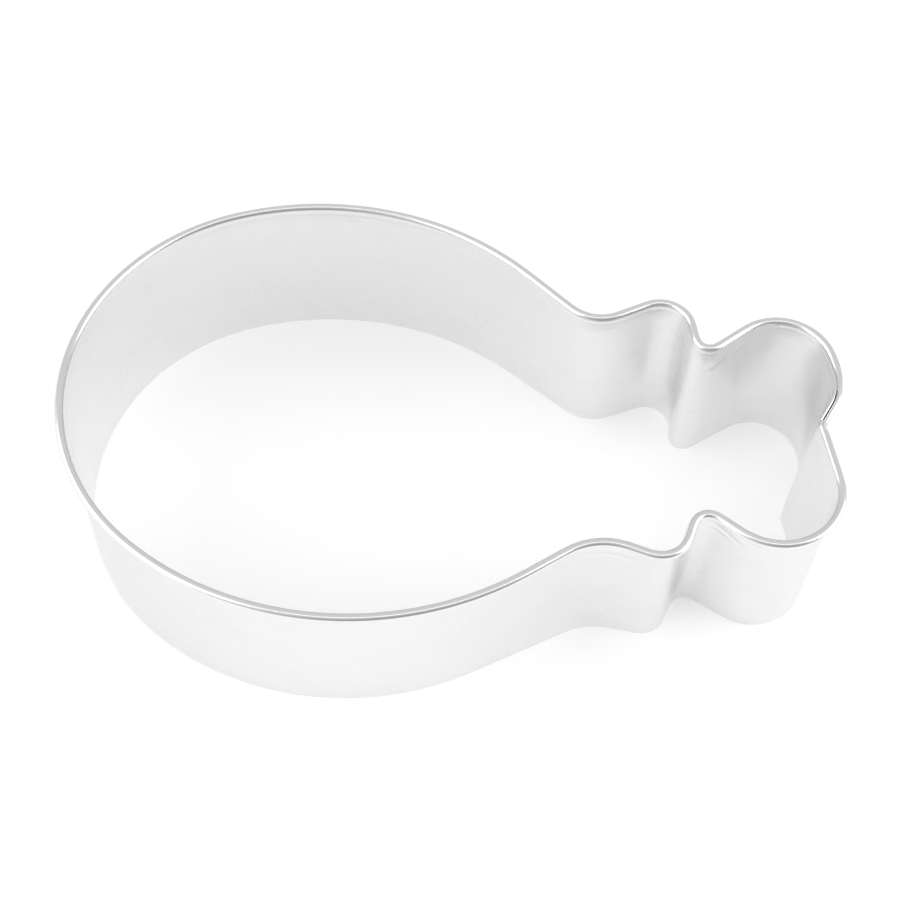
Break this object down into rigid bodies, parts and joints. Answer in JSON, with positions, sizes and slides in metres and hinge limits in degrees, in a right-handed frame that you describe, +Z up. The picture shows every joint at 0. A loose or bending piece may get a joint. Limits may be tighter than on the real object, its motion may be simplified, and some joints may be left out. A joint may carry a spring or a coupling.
{
  "type": "cookie cutter",
  "caption": "Open tinplate strip bent on edge into a turkey leg outline, with a plain cutting edge below and a rolled bead above, for cutting shapes from rolled dough.",
  "frame": {"origin": "centre of the outline's bounding box, on the plane of the cutting edge", "axes": "+X from the round end of the meat towards the bone's knuckles, +Y towards the knuckle that carries the lap, +Z up from the cutting edge to the bead"},
  "size_m": [0.1028, 0.0642, 0.0254],
  "materials": {
    "tinplate": "bright tin plate, smooth as rolled"
  },
  "bodies": {
    "root": {"cutter_strip": "tinplate"}
  },
  "joints": []
}
